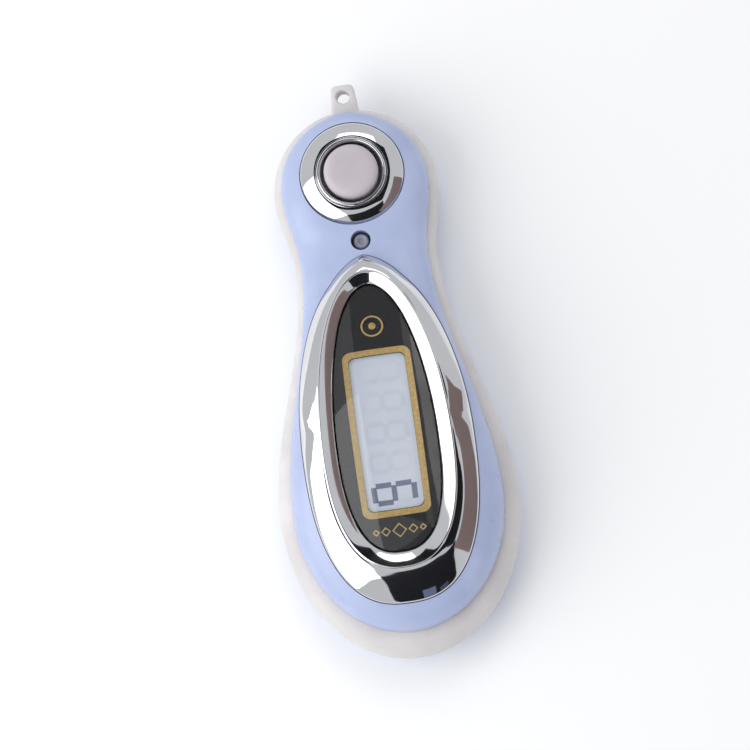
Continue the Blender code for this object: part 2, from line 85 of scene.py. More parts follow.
# %% [markdown]
# ## Camera
#
# The counter lies on its back and the camera looks down at it from above its lower end,
# a little to its right. A long lens keeps the edges almost parallel, as in a catalogue
# picture. The camera could be turned by Euler angles, but building its matrix from three
# directions makes the small roll easy to read.

# %% Place the camera
LEAN_RIGHT = math.radians(3.1)
LEAN_DOWN = math.radians(9.8)
ROLL = math.radians(-7.8)
DISTANCE = 600.0
FIELD = 118.1
SENSOR = 36.0
AIM = Vector((0, -3.6, 12.0))
OFF_CENTRE = (-1.0, 1.7)

toward = Vector((math.tan(LEAN_RIGHT), -math.tan(LEAN_DOWN), 1.0)).normalized()
upright = (Vector((0, 1, 0)) - toward * toward.y).normalized()
sideways = upright.cross(toward)
right = sideways * math.cos(ROLL) + upright * math.sin(ROLL)
up = upright * math.cos(ROLL) - sideways * math.sin(ROLL)

lens = bpy.data.cameras.new("camera")
lens.sensor_width = SENSOR
lens.lens = SENSOR * DISTANCE / FIELD
camera = bpy.data.objects.new("camera", lens)
bpy.context.scene.collection.objects.link(camera)
spot = AIM + right * OFF_CENTRE[0] + up * OFF_CENTRE[1] + toward * DISTANCE
turn = Matrix((right, up, toward)).transposed().to_4x4()
camera.matrix_world = Matrix.Translation(spot * MM) @ turn
bpy.context.scene.camera = camera
print("lens in mm:", round(lens.lens, 1))

# %% [markdown]
# ## Floor and studio light
#
# Bright plating shows its surroundings more than itself. A real studio surrounds it with
# white panels and a few dark cards, so that its edges read. Here two large area lights
# are the panels. Cards above and round the counter show only as reflections: the one above
# keeps the lens dark, so that the print under it can be read. The plain view transform
# leaves colours as they are mixed.

# %% Small helpers for materials
def linear(hex_code):
    """Turn an sRGB hex colour into the linear values that shaders use."""
    values = [int(hex_code[i:i + 2], 16) / 255 for i in (1, 3, 5)]
    parts = [v / 12.92 if v <= 0.04045 else ((v + 0.055) / 1.055) ** 2.4 for v in values]
    return (*parts, 1.0)


def add_node(tree, kind, inputs=None, **settings):
    """Add a node, set its properties, and set or link its inputs."""
    made = tree.nodes.new(kind)
    for name, value in settings.items():
        setattr(made, name, value)
    for name, value in (inputs or {}).items():
        if isinstance(value, bpy.types.NodeSocket):
            tree.links.new(value, made.inputs[name])
        else:
            made.inputs[name].default_value = value
    return made


def new_material(name):
    """Start a material and return it with its node tree and Principled shader."""
    made = bpy.data.materials.new(name)
    made.use_nodes = True
    return made, made.node_tree, made.node_tree.nodes["Principled BSDF"]


# %% Floor, lights and cards
def flat_sheet(name, size, centre, facing, material, tall=1.0):
    """A flat sheet that faces a direction, for the floor and the cards."""
    bm = bmesh.new()
    bmesh.ops.create_grid(bm, x_segments=1, y_segments=1, size=size / 2 * MM)
    bmesh.ops.scale(bm, vec=(1, tall, 1), verts=bm.verts)
    spin = Vector(facing).to_track_quat("Z", "Y").to_matrix()
    bmesh.ops.rotate(bm, cent=(0, 0, 0), matrix=spin, verts=bm.verts)
    bmesh.ops.translate(bm, vec=Vector(centre) * MM, verts=bm.verts)
    mesh = bpy.data.meshes.new(name)
    bm.to_mesh(mesh)
    bm.free()
    mesh.materials.append(material)
    sheet = bpy.data.objects.new(name, mesh)
    bpy.context.scene.collection.objects.link(sheet)
    return sheet


def soft_light(name, centre, size, power, colour="#FFFFFF"):
    """A square area light that points at the counter."""
    lamp = bpy.data.lights.new(name, "AREA")
    lamp.size = size * MM
    lamp.energy = power
    lamp.color = linear(colour)[:3]
    holder = bpy.data.objects.new(name, lamp)
    holder.location = Vector(centre) * MM
    holder.rotation_mode = "QUATERNION"
    holder.rotation_quaternion = Vector(centre).to_track_quat("Z", "Y")
    bpy.context.scene.collection.objects.link(holder)
    return holder


paper, _, paper_shader = new_material("white_studio_paper")
paper_shader.inputs["Base Color"].default_value = linear("#F8F8F8")
paper_shader.inputs["Roughness"].default_value = 0.9

FLOOR_GAP = 0.02
FLOOR_SIZE = 3000
FLOOR_Z = cad_low.z / MM - FLOOR_GAP
flat_sheet("floor", FLOOR_SIZE, (0, 0, FLOOR_Z), (0, 0, 1), paper)


def studio_card(name, colour, size, centre, tall=1.0):
    """A card that shows only in reflections and leaves the light on the counter alone."""
    cover, _, cover_shader = new_material(name + "_paint")
    cover_shader.inputs["Base Color"].default_value = linear(colour)
    cover_shader.inputs["Roughness"].default_value = 1.0
    sheet = flat_sheet(name, size, centre, [-value for value in centre], cover, tall)
    for kind in ("camera", "diffuse", "shadow", "transmission"):
        setattr(sheet, "visible_" + kind, False)


studio_card("card_over", "#0C0C10", 700, (10, 130, 620))
studio_card("card_low", "#0B0C14", 330, (80, -300, 250), 1.15)
studio_card("card_detail_1", "#6B7391", 46, (40, -240, 118), 1.9)
studio_card("card_detail_2", "#4B5068", 38, (98, -225, 112), 1.5)
studio_card("card_side", "#7F6C6A", 110, (100, -25, 70), 0.85)
soft_light("panel_left", (-350, -110, 300), 480, 1.5)
soft_light("panel_top", (60, 480, 620), 420, 0.9)

ROOM_LIGHT = 0.72
world = bpy.data.worlds.new("studio_world")
bpy.context.scene.world = world
world.use_nodes = True
background = world.node_tree.nodes["Background"]
background.inputs["Color"].default_value = linear("#F4F5F8")
background.inputs["Strength"].default_value = ROOM_LIGHT
bpy.context.scene.view_settings.view_transform = "Standard"

# %% [markdown]
# ## Materials
#
# Each finish below starts from the real one: what it is made of and how its surface was
# made. Noise on Object coordinates gives it the small unevenness of a real part. Object
# coordinates are in metres here, so a grain of g millimetres needs a scale of 1000 / g.

# %% Patterns that the finishes share
def object_noise(tree, grain_mm, detail=3.0, stretch=(1, 1, 1)):
    """Noise whose lumps are about grain_mm across, read from Object coordinates."""
    place = add_node(tree, "ShaderNodeTexCoord")
    mapped = add_node(tree, "ShaderNodeMapping", {"Vector": place.outputs["Object"], "Scale": stretch})
    return add_node(tree, "ShaderNodeTexNoise", {
        "Vector": mapped.outputs["Vector"], "Scale": 1 / (grain_mm * MM), "Detail": detail})


def mottled(tree, shader, dark, light, grain_mm, stretch=(1, 1, 1)):
    """Vary the base colour a little between two shades."""
    noise = object_noise(tree, grain_mm, stretch=stretch)
    ramp = add_node(tree, "ShaderNodeValToRGB", {"Fac": noise.outputs["Fac"]})
    ramp.color_ramp.elements[0].position = 0.3
    ramp.color_ramp.elements[0].color = linear(dark)
    ramp.color_ramp.elements[1].position = 0.7
    ramp.color_ramp.elements[1].color = linear(light)
    tree.links.new(ramp.outputs["Color"], shader.inputs["Base Color"])


def uneven_gloss(tree, shader, low, high, grain_mm, stretch=(1, 1, 1)):
    """Let the roughness wander between two values, as handling and moulding leave it."""
    noise = object_noise(tree, grain_mm, 4.0, stretch)
    spread = add_node(tree, "ShaderNodeMapRange", {
        "Value": noise.outputs["Fac"], "From Min": 0.3, "From Max": 0.7, "To Min": low, "To Max": high})
    tree.links.new(spread.outputs["Result"], shader.inputs["Roughness"])


def grainy(tree, shader, grain_mm, depth_mm, stretch=(1, 1, 1)):
    """Raise a fine bump of a real depth."""
    noise = object_noise(tree, grain_mm, 2.0, stretch)
    bump = add_node(tree, "ShaderNodeBump", {
        "Height": noise.outputs["Fac"], "Distance": depth_mm * MM, "Strength": 1.0})
    tree.links.new(bump.outputs["Normal"], shader.inputs["Normal"])


def finish(name, dark, light, gloss, grain, bump, blotch_mm=6.0, stretch=(1, 1, 1), **constants):
    """A whole finish: two close colours, a roughness range, a bump, and fixed socket values."""
    made, tree, shader = new_material(name)
    mottled(tree, shader, dark, light, blotch_mm, stretch)
    uneven_gloss(tree, shader, gloss[0], gloss[1], blotch_mm * 0.6, stretch)
    grainy(tree, shader, grain, bump, stretch)
    for socket, value in constants.items():
        shader.inputs[socket.replace("_", " ")].default_value = value
    return made


# %% Plastics
# Moulded ABS with a soft gloss: wide, gentle highlights and a hint of orange peel.
blue_abs = finish("moulded_blue_abs", "#A8B4D6", "#B2BDDD", (0.26, 0.34), 1.4, 0.004, IOR=1.54)
# Frosted polypropylene lets a little light in, so its edges glow greyish white.
frosted_pp = finish("frosted_polypropylene", "#CFCBCB", "#DAD7D6", (0.42, 0.52), 0.25, 0.006,
                    IOR=1.49, Subsurface_Weight=0.35, Subsurface_Radius=(1.0, 0.95, 0.9),
                    Subsurface_Scale=0.0012)
# Milky silicone-like cap, pinkish grey, with light bleeding through its rim.
milky_cap = finish("milky_elastomer_cap", "#BDB6BB", "#C5BEC3", (0.34, 0.42), 0.35, 0.004,
                   IOR=1.46, Subsurface_Weight=0.4, Subsurface_Radius=(1.0, 0.92, 0.9),
                   Subsurface_Scale=0.001)
# The small reset pin is the same stuff in a smoky grey.
smoky_pin = finish("smoky_translucent_pin", "#8E909C", "#9DA0AB", (0.2, 0.3), 0.3, 0.004,
                   IOR=1.49, Subsurface_Weight=0.3, Subsurface_Scale=0.0008)
white_abs = finish("moulded_white_abs", "#DEDEDA", "#E8E8E4", (0.35, 0.45), 0.4, 0.005, IOR=1.54)

# %% Plated, metal and glass finishes
# Decorative chrome over moulded plastic: nearly a mirror, with the waviness of the moulding.
chrome = finish("chrome_plated_abs", "#DADBDD", "#E2E3E5", (0.03, 0.07), 9.0, 0.006, Metallic=1.0)
zinc = finish("zinc_plated_steel", "#A7A9AC", "#B9BBBD", (0.25, 0.38), 0.3, 0.004, Metallic=1.0)
nickel = finish("nickel_plated_spring_strip", "#BDB9B0", "#CAC7BF", (0.2, 0.32), 0.2, 0.003,
                stretch=(1, 12, 1), Metallic=1.0)
drawn_can = finish("drawn_stainless_can", "#C4C5C8", "#CFD0D2", (0.18, 0.28), 0.15, 0.002,
                   stretch=(1, 1, 10), Metallic=1.0)
foil = finish("satin_reflector_foil", "#B4B9C2", "#C2C7CE", (0.3, 0.4), 0.2, 0.003, Metallic=0.8)
gold_ink = finish("gold_printing_ink", "#C79F4C", "#E4C67C", (0.3, 0.45), 0.12, 0.006,
                  blotch_mm=0.4, Metallic=0.3)
acrylic = finish("polished_clear_acrylic", "#FAFBFC", "#FFFFFF", (0.0, 0.02), 8.0, 0.002,
                 IOR=1.49, Transmission_Weight=1.0)

# %% Display, rubber and board finishes
# The display sheets carry a very faint painted glow. It is an emission that stands in for the light the
# thick refracting lens keeps from them, since an LCD gives no light of its own.
PAINTED_SCREEN_GLOW = {"Emission_Color": linear("#C6D2E6"), "Emission_Strength": 0.12}
film = finish("black_screen_print", "#050508", "#0B0B10", (0.35, 0.45), 0.3, 0.0002, IOR=1.5,
              Specular_IOR_Level=0.15)
polariser = finish("grey_polariser_sheet", "#E3E9F5", "#F0F4FC", (0.3, 0.4), 0.2, 0.001,
                   stretch=(1, 0.1, 1), IOR=1.5, Specular_IOR_Level=0.2, **PAINTED_SCREEN_GLOW)
glass = finish("thin_display_glass", "#C6CEDA", "#D0D7E0", (0.04, 0.08), 2.0, 0.001, IOR=1.52)
liquid_crystal = finish("dark_liquid_crystal", "#868FAA", "#939CB6", (0.3, 0.4), 0.3, 0.001, IOR=1.5,
                        Specular_IOR_Level=0.2)
silicone = finish("matt_silicone_rubber", "#D2CFC6", "#DCDAD2", (0.55, 0.68), 0.3, 0.01, IOR=1.41)
zebra = finish("layered_zebra_silicone", "#7A5358", "#DDA3AA", (0.5, 0.6), 0.3, 0.004,
               blotch_mm=0.35, stretch=(0.02, 1, 0.02), IOR=1.41)
carbon = finish("carbon_filled_silicone", "#161618", "#222225", (0.6, 0.75), 0.2, 0.01, IOR=1.41)
laminate = finish("green_solder_mask", "#275C3F", "#34724F", (0.3, 0.42), 0.4, 0.01, IOR=1.5)
epoxy = finish("cured_black_epoxy", "#0E0E10", "#18181B", (0.15, 0.25), 1.0, 0.01, IOR=1.55)
ceramic_tan = finish("fired_tan_ceramic", "#9C7A54", "#B08F66", (0.45, 0.6), 0.15, 0.006, IOR=1.6)
ceramic_black = finish("lacquered_black_ceramic", "#1A1A1E", "#26262A", (0.35, 0.5), 0.15, 0.004, IOR=1.6)
print("finishes:", len(bpy.data.materials))

# %% [markdown]
# ## Mesh helpers
#
# The casings and the bezel have no straight side anywhere, so a cube with bevels would never
# reach their outline. They could be sculpted or subdivided from a coarse cage. Here a ring
# of vertices is laid on an outline and extruded from outline to outline, which keeps every
# height where the CAD has it. A smooth curve through a few outlines fills in the rest.

# %% Rows of points and smooth curves through them
def curve_point(a, b, c, d, t):
    """A point between b and c on a smooth curve that passes a, b, c and d."""
    return (b * 2 + (c - a) * t + (a * 2 - b * 5 + c * 4 - d) * t ** 2
            + (b * 3 - a - c * 3 + d) * t ** 3) / 2


def flowing(rows, steps=4):
    """More rows on a smooth curve through the given ones; a row given twice is a corner."""
    padded = [rows[0], *rows, rows[-1]]
    made = []
    for a, b, c, d in zip(padded, padded[1:], padded[2:], padded[3:]):
        if b == c:
            continue
        for step in range(steps):
            made.append([curve_point(*four, step / steps) for four in zip(a, b, c, d)])
    return made + [rows[-1]]


def flowing_profile(points, steps=4):
    """The same for a profile of (radius, height) points."""
    rows = [[Vector((radius, 0, z))] for radius, z in points]
    return [row[0] for row in flowing(rows, steps)]


# %% Loft, spin and simple solids
MERGE_DISTANCE = 0.002


def loft(rows, wrap=False, caps=(True, True)):
    """Extrude a ring from row to row; wrap closes it on itself, and caps fill its ends."""
    bm = bmesh.new()
    ring = bmesh.ops.create_circle(bm, segments=len(rows[0]), radius=1.0)["verts"]
    for vert, point in zip(ring, rows[0]):
        vert.co = point
    if caps[0] and not wrap:
        bmesh.ops.contextual_create(bm, geom=bm.edges[:])
    for row in rows[1:] + ([rows[0]] if wrap else []):
        edges = [bm.edges.get(pair) for pair in zip(ring, ring[1:] + ring[:1])]
        made = bmesh.ops.extrude_edge_only(bm, edges=edges)["geom"]
        fresh = {part for part in made if isinstance(part, bmesh.types.BMVert)}
        ring = [next(edge.other_vert(vert) for edge in vert.link_edges
                     if edge.other_vert(vert) in fresh) for vert in ring]
        for vert, point in zip(ring, row):
            vert.co = point
    if caps[1] and not wrap:
        edges = [bm.edges.get(pair) for pair in zip(ring, ring[1:] + ring[:1])]
        bmesh.ops.contextual_create(bm, geom=edges)
    bmesh.ops.remove_doubles(bm, verts=bm.verts, dist=MERGE_DISTANCE)
    return bm


def turned(profile, steps=96, closed=False, at=(0, 0)):
    """Spin a profile round an upright axis."""
    bm = bmesh.new()
    points = [bm.verts.new(point) for point in profile]
    edges = [bm.edges.new(pair) for pair in zip(points, points[1:])]
    if closed:
        edges.append(bm.edges.new((points[-1], points[0])))
    bmesh.ops.spin(bm, geom=points + edges, cent=(0, 0, 0), axis=(0, 0, 1),
                   angle=2 * math.pi, steps=steps, use_merge=True)
    bmesh.ops.remove_doubles(bm, verts=bm.verts, dist=MERGE_DISTANCE)
    bmesh.ops.translate(bm, vec=(at[0], at[1], 0), verts=bm.verts)
    return bm


def block(bm, low, high, bevel=0.0):
    """Add a box between two corners, with rounded edges if asked."""
    verts = bmesh.ops.create_cube(bm, size=1.0)["verts"]
    bmesh.ops.scale(bm, vec=[b - a for a, b in zip(low, high)], verts=verts)
    bmesh.ops.translate(bm, vec=[(a + b) / 2 for a, b in zip(low, high)], verts=verts)
    if bevel:
        edges = {edge for vert in verts for edge in vert.link_edges}
        bmesh.ops.bevel(bm, geom=list(edges), offset=bevel, segments=3, affect="EDGES",
                        profile=0.5, material=-1)
    return bm


def rod(bm, radius, low, high, at, segments=64):
    """Add an upright cylinder."""
    verts = bmesh.ops.create_cone(bm, cap_ends=True, segments=segments, radius1=radius,
                                  radius2=radius, depth=high - low)["verts"]
    bmesh.ops.translate(bm, vec=(at[0], at[1], (low + high) / 2), verts=verts)
    return bm


# %% Finish a piece and cut it
def as_object(name, bm):
    """Make an object of a mesh drawn in millimetres."""
    bmesh.ops.scale(bm, vec=(MM, MM, MM), verts=bm.verts)
    bmesh.ops.recalc_face_normals(bm, faces=bm.faces)
    mesh = bpy.data.meshes.new(name)
    bm.to_mesh(mesh)
    bm.free()
    made = bpy.data.objects.new(name, mesh)
    bpy.context.scene.collection.objects.link(made)
    return made


def carve(piece, bm, operation="DIFFERENCE"):
    """Cut a shape out of a piece, or join it on, and keep the result as its mesh."""
    tool = as_object("tool", bm)
    step = piece.modifiers.new("carve", "BOOLEAN")
    step.operation = operation
    step.solver = "EXACT"
    step.object = tool
    bpy.context.view_layer.update()
    graph = bpy.context.evaluated_depsgraph_get()
    result = bpy.data.meshes.new_from_object(piece.evaluated_get(graph))
    piece.modifiers.clear()
    piece.data = result
    bpy.data.objects.remove(tool, do_unlink=True)


def finished(piece, body, slot, material, *nodes, sharp=32):
    """Smooth a piece, give it its material, tie it to its body and hide its CAD nodes; slot is not used.
    """
    piece.data.materials.clear()
    piece.data.materials.append(material)
    piece.data.shade_smooth()
    piece.data.set_sharp_from_angle(angle=math.radians(sharp))
    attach(piece, body)
    if nodes:
        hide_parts(*nodes)
    size = [round(value / MM, 1) for value in piece.dimensions]
    print(f"{piece.name}: {size} mm, {len(piece.data.polygons)} faces")
    return piece


# %% [markdown]
# ## The gourd outline
#
# All three casings share one plan: a round head, a waist and an oval lobe. The same few
# numbers as in the CAD give it here, and the outer limits come from the CAD nodes.

# %% Outlines of the body
frame_low, frame_high = span("middle_frame")
Gourd = namedtuple("Gourd", "head_y head_radius neck_y neck_half lobe_y lobe_half bottom_y")
BODY = Gourd(29.2, 13.2, 17.1, 11.4, -22.2, 19.0, frame_low[1])
FOOT = Gourd(29.3, 11.8, 17.1, 10.2, -22.2, 16.7, frame_low[1] + 3.9)
CAVITY = Gourd(29.3, 10.0, 17.1, 8.3, -22.2, 15.1, frame_low[1] + 5.5)


def ease(start, end, t):
    """Blend from start to end along half a cosine wave."""
    return start + (end - start) * (1 - math.cos(math.pi * t)) / 2


def half_width(gourd, y):
    """Half of the width at y."""
    if y > gourd.head_y:
        return math.sqrt(max(0.0, gourd.head_radius ** 2 - (y - gourd.head_y) ** 2))
    if y > gourd.neck_y:
        t = (y - gourd.neck_y) / (gourd.head_y - gourd.neck_y)
        return ease(gourd.neck_half, gourd.head_radius, t)
    if y > gourd.lobe_y:
        t = (y - gourd.lobe_y) / (gourd.neck_y - gourd.lobe_y)
        return ease(gourd.lobe_half, gourd.neck_half, t)
    t = (gourd.lobe_y - y) / (gourd.lobe_y - gourd.bottom_y)
    return gourd.lobe_half * math.sqrt(max(0.0, 1 - t * t))


def stations(gourd, count=110):
    """Places along Y from end to end, closer together towards both ends."""
    top = gourd.head_y + gourd.head_radius
    middle = (top + gourd.bottom_y) / 2
    half = (top - gourd.bottom_y) / 2
    return [middle + half * math.cos(math.pi * i / count) for i in range(count + 1)]


def between_ring(first, second, share, z):
    """An outline part of the way from one gourd to another."""
    ring = []
    for y_a, y_b in zip(stations(first), stations(second)):
        x_a = half_width(first, y_a)
        x_b = half_width(second, y_b)
        ring.append(Vector((x_a + (x_b - x_a) * share, y_a + (y_b - y_a) * share, z)))
    return ring + [Vector((-point.x, point.y, z)) for point in reversed(ring[1:-1])]


print("body half-widths:", [round(half_width(BODY, y), 1) for y in (30, 17, 0, -22)])

# %% Outlines of the display
Egg = namedtuple("Egg", "half up down")
EGG_Y = -13.5
BEZEL = Egg(13.4, 29.1, 24.8)
RIM = Egg(10.4, 27.8, 19.7)
LENS_OPENING = Egg(8.1, 25.6, 17.2)
LENS = Egg(7.8, 25.3, 16.9)
SAG = 0.00126
TIP_LENGTH = 1.4
TIP_ANGLE = math.radians(26)


def egg_ring(egg, z, tip=0.0, count=216):
    """An egg outline, blunter at the bottom, that may end in a point at the head end."""
    ring = []
    for i in range(count):
        angle = 2 * math.pi * i / count
        across = math.sin(angle)
        along = math.cos(angle)
        power = 2 / (2.0 if along > 0 else 2.5)
        reach = egg.up if along > 0 else egg.down
        x = egg.half * math.copysign(abs(across) ** power, across)
        y = EGG_Y + reach * math.copysign(abs(along) ** power, along)
        off_axis = min(angle, 2 * math.pi - angle)
        y += tip * max(0.0, 1 - off_axis / TIP_ANGLE)
        ring.append(Vector((x, y, z(x, y) if callable(z) else z)))
    return ring


def sloped(egg, z, tip=0.0):
    """An egg outline that falls a little towards both ends."""
    return egg_ring(egg, lambda x, y: z - SAG * (y - EGG_Y) ** 2, tip)


def grown(egg, by):
    """An egg outline moved out by a distance."""
    return Egg(egg.half + by, egg.up + by, egg.down + by)


# %% [markdown]
# ## Front shell
#
# The blue front casing is one thick-walled moulding: a dome over the lobe, a saddle at the
# waist and a flatter crown on the head. Arched sections are lofted along Y. Subdividing a
# cube would round the foot away, and it has to sit flat on the band.

# %% Heights of the front shell
FOOT_Z = 9.6
LOBE_RISE = 8.3
HEAD_RISE = 4.7
ROOF_Z = 11.6
SEAT_Z = 12.6
ABOVE_ALL = 22
LOBE_CREST_Y = -13.6
RISE_RUN = 32.0
HEAD_END_POWER = 6.0
LOBE_END_POWER = 2.6
END_SQUARENESS = 2.7
WAIST_EXTRA = 2.3
WAIST_Y = 5.4
WAIST_REACH = 15.0
CASE_SCREWS = [(0.0, 11.4), (9.0, -32.8), (-9.0, -32.8)]
BOARD_SCREWS = [(10.0, -20.6), (-10.0, -20.6)]
ring_low, ring_high = span("button_ring")
COUNT_AT = (0.0, (ring_low[1] + ring_high[1]) / 2)
pin_low, pin_high = span("reset_button")
RESET_AT = (0.0, (pin_low[1] + pin_high[1]) / 2)
glass_low, glass_high = span("lcd_front_glass")
LCD_Y = (glass_low[1] + glass_high[1]) / 2


def end_fall(gourd, y, power):
    """Share of the full height at y, rounded down to 0 at both ends."""
    top = gourd.head_y + gourd.head_radius
    middle = (top + gourd.bottom_y) / 2
    v = min(1.0, abs(y - middle) / ((top - gourd.bottom_y) / 2))
    return (1 - v ** power) ** (1 / power)


def front_rise(y):
    """Height of the middle line above the foot."""
    along = min(1.0, max(0.0, (y - LOBE_CREST_Y) / RISE_RUN))
    power = HEAD_END_POWER if y > 0 else LOBE_END_POWER
    return ease(LOBE_RISE, HEAD_RISE, along) * end_fall(FOOT, y, power)


def front_power(y):
    """Squareness of the section, fullest at the waist."""
    return END_SQUARENESS + WAIST_EXTRA * max(0.0, 1 - ((y - WAIST_Y) / WAIST_REACH) ** 2)


def front_z(x, y):
    """Height of the outer face."""
    share = min(1.0, abs(x) / max(half_width(FOOT, y), 0.01))
    power = front_power(y)
    return FOOT_Z + front_rise(y) * (1 - share ** power) ** (1 / power)


print("crown heights in mm:", [round(front_z(0, y), 2) for y in (30, 17, 0, -14, -30)])

# %% Front shell
def arch(width, rise, power, y, steps, back=False):
    """Half a superellipse from one foot over the crown to the other."""
    row = []
    for i in range(steps + 1):
        angle = math.pi * (1 - i / steps if back else i / steps)
        across = math.cos(angle)
        x = width * math.copysign(abs(across) ** (2 / power), across)
        row.append(Vector((x, y, FOOT_Z + rise * max(0.0, math.sin(angle)) ** (2 / power))))
    return row


sections = []
for outer_y, inner_y in zip(stations(FOOT), stations(CAVITY)):
    depth = (ROOF_Z - FOOT_Z) * end_fall(CAVITY, inner_y, 16.0)
    outer = arch(half_width(FOOT, outer_y), front_rise(outer_y), front_power(outer_y), outer_y, 64)
    sections.append(outer + arch(half_width(CAVITY, inner_y), depth, 7.0, inner_y, 12, back=True))
front = as_object("front_shell_skin", loft(sections, caps=(False, False)))

CASE_BOSS, CASE_PILOT = 2.1, 1.15
BOARD_BOSS, BOARD_PILOT = 1.8, 0.95
RING_POCKET = 8.4
BEZEL_POCKET_GAP = 0.25
INTO_ROOF = 0.5
bosses = bmesh.new()
for at in CASE_SCREWS:
    rod(bosses, CASE_BOSS, 4.8, ROOF_Z + INTO_ROOF, at)
for at in BOARD_SCREWS:
    rod(bosses, BOARD_BOSS, 8.9, ROOF_Z + INTO_ROOF, at)
carve(front, bosses, "UNION")
pilots = bmesh.new()
for at in CASE_SCREWS:
    rod(pilots, CASE_PILOT, 4.0, 11.0, at)
for at in BOARD_SCREWS:
    rod(pilots, BOARD_PILOT, 7.9, 11.3, at)
carve(front, pilots)
pocket_edge = grown(BEZEL, BEZEL_POCKET_GAP)
pockets = loft([egg_ring(pocket_edge, z, TIP_LENGTH) for z in (SEAT_Z, ABOVE_ALL)])
rod(pockets, RING_POCKET, SEAT_Z, ABOVE_ALL, COUNT_AT, 128)
carve(front, pockets)

# %% Openings through the front shell
def rounded_ring(width, length, radius, centre_y, z, steps=8):
    """A rounded rectangle's outline."""
    ring = []
    for corner in range(4):
        sign_x = 1 if corner in (0, 3) else -1
        sign_y = 1 if corner in (0, 1) else -1
        for i in range(steps + 1):
            angle = math.pi / 2 * (corner + i / steps)
            x = sign_x * (width / 2 - radius) + radius * math.cos(angle)
            y = sign_y * (length / 2 - radius) + radius * math.sin(angle)
            ring.append(Vector((x, centre_y + y, z)))
    return ring


holder_low, holder_high = span("lcd_holder")
HOLDER_SIZE = (holder_high[0] - holder_low[0], holder_high[1] - holder_low[1])
HOLDER_GAP = 0.6
COUNT_BORE = 4.85
RESET_BORE = 1.6
UNDER_ROOF, OVER_SEAT = ROOF_Z - 1, SEAT_Z + 1
OPEN_WIDTH, OPEN_LENGTH = (length + 2 * HOLDER_GAP for length in HOLDER_SIZE)
openings = loft([rounded_ring(OPEN_WIDTH, OPEN_LENGTH, 1.0, LCD_Y, z) for z in (UNDER_ROOF, OVER_SEAT)])
rod(openings, COUNT_BORE, UNDER_ROOF, OVER_SEAT, COUNT_AT)
rod(openings, RESET_BORE, UNDER_ROOF, ABOVE_ALL, RESET_AT)
carve(front, openings)
finished(front, "case", "blue_gloss_abs", blue_abs, "front_shell", sharp=40)

# %% [markdown]
# ## Middle band and lug
#
# The frosted band between the shells is a rounded ring with the lanyard lug moulded on. Its
# outer face is a smooth curve through a few outlines, and the lug is joined on and drilled.

# %% Middle band
BAND = ((0.18, 5.5), (0.04, 5.75), (0.0, 6.4), (0.03, 7.3), (0.2, 8.15), (0.55, 8.85), (0.9, 9.22),
        (0.98, 9.3))
outer = flowing([between_ring(BODY, FOOT, share, z) for share, z in BAND], 3)
inner = [between_ring(CAVITY, CAVITY, 0, z) for z in (9.3, 5.5)]
band = as_object("middle_band_skin", loft(outer + inner, wrap=True))

LUG_HALF = 2.4
LUG_CORNER = 0.9
LUG_CORNER_X = 1.0
LUG_ROOT_Y = 40.0
LUG_END_Y = frame_high[1]
LUG_HOLE_INSET = 2.0
LUG_HOLE_AT = (0.0, LUG_END_Y - LUG_HOLE_INSET)


def lug_row(inset, z):
    """The lug's outline: a tab that narrows a little to an end with two round corners."""
    corner = LUG_CORNER - inset
    row = []
    for side, start in ((LUG_CORNER_X, 0), (-LUG_CORNER_X, 12)):
        for i in range(start, start + 13):
            angle = math.pi / 24 * i
            x = side + corner * math.cos(angle)
            row.append(Vector((x, LUG_END_Y - LUG_CORNER + corner * math.sin(angle), z)))
    return row + [Vector((inset - LUG_HALF, LUG_ROOT_Y, z)), Vector((LUG_HALF - inset, LUG_ROOT_Y, z))]


lug_rows = flowing([lug_row(inset, z) for inset, z in
                    ((0.4, 5.7), (0.12, 5.84), (0.0, 6.2), (0.0, 8.2), (0.12, 8.56), (0.4, 8.7))], 3)
carve(band, loft(lug_rows), "UNION")
drill = turned([Vector(p) for p in ((0, 0, 4), (1.35, 0, 4), (1.35, 0, 5.6), (1.05, 0, 5.95),
                                    (1.05, 0, 8.45), (1.35, 0, 8.8), (1.35, 0, 10), (0, 0, 10))],
               48, at=LUG_HOLE_AT)
carve(band, drill)
finished(band, "case", "frosted_grey_abs", frosted_pp, "middle_frame", sharp=40)

# %% [markdown]
# ## Rear shell and battery door
#
# The back is a shallow tray with a flat face, three screw wells and a recess for the door.
# The door has a well for its screw and a few engraved grip grooves with a plain arrow. The
# grooves are cut in, so that the counter still lies flat.

# %% Rear shell
WALL = ((1.15, 0.0), (0.98, 0.06), (0.75, 0.35), (0.42, 1.3), (0.22, 2.9), (0.14, 5.2))
outer = flowing([between_ring(BODY, CAVITY, share, z) for share, z in WALL], 3)
inner = [between_ring(BODY, CAVITY, share, z) for share, z in ((0.58, 5.2), (0.68, 3.2), (1.05, 1.7),
                                                               (1.25, 1.5))]
rear = as_object("rear_shell_skin", loft(outer + inner))
door_low, door_high = span("battery_door")
DOOR_SIZE = (door_high[0] - door_low[0], door_high[1] - door_low[1])
DOOR_Y = (door_low[1] + door_high[1]) / 2
screw_low, screw_high = span("battery_door_screw")
DOOR_SCREW_AT = (0.0, (screw_low[1] + screw_high[1]) / 2)
DOOR_GAP = 0.3
BAY_WALL = 1.3
BAY_LEDGE = 0.5
WELL_BOSS, WELL_RADIUS = 3.2, 2.1
PILLAR_RADIUS = 2.2
DOOR_PILOT = 1.1


def door_block(by, low, high):
    """A box as large as the door and larger by a distance on each side."""
    half_x, half_y = DOOR_SIZE[0] / 2, DOOR_SIZE[1] / 2
    return block(bmesh.new(), (-half_x - by, DOOR_Y - half_y - by, low),
                 (half_x + by, DOOR_Y + half_y + by, high))


